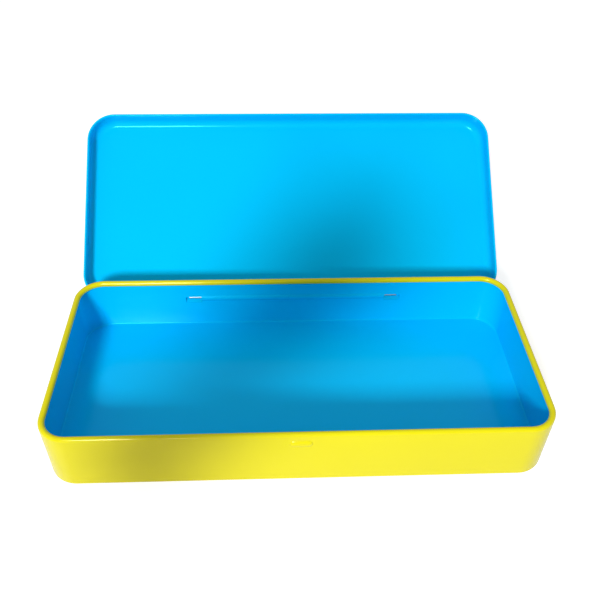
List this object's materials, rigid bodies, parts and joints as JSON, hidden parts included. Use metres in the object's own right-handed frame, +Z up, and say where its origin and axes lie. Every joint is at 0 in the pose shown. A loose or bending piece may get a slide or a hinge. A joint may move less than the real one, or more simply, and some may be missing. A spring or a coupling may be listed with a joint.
{
  "type": "hinged tin pencil case",
  "caption": "Shallow rectangular tin with round corners and a curled rim, and a slip-over lid hinged on a wire along its back, to hold pencils.",
  "frame": {"origin": "centre of the tray's flat bottom, where it stands on a table", "axes": "+X along the length, +Y towards the hinged back, +Z up out of the tray"},
  "size_m": [0.2026, 0.1735, 0.0737],
  "materials": {
    "yellow_lacquer": "gloss lacquer on tinplate, with the tray's inside in the lid's blue",
    "blue_lacquer": "gloss lacquer on tinplate",
    "steel_wire": "bright drawn wire"
  },
  "bodies": {
    "tray": {"tray": "yellow_lacquer", "hinge_wire": "steel_wire"},
    "lid": {"lid": "blue_lacquer"}
  },
  "joints": [
    {"name": "lid_hinge", "type": "hinge", "parent": "tray", "child": "lid", "pos_m": [0, 0.0466, 0.0162], "axis": [1, 0, 0], "range_deg": [0, 141]}
  ]
}
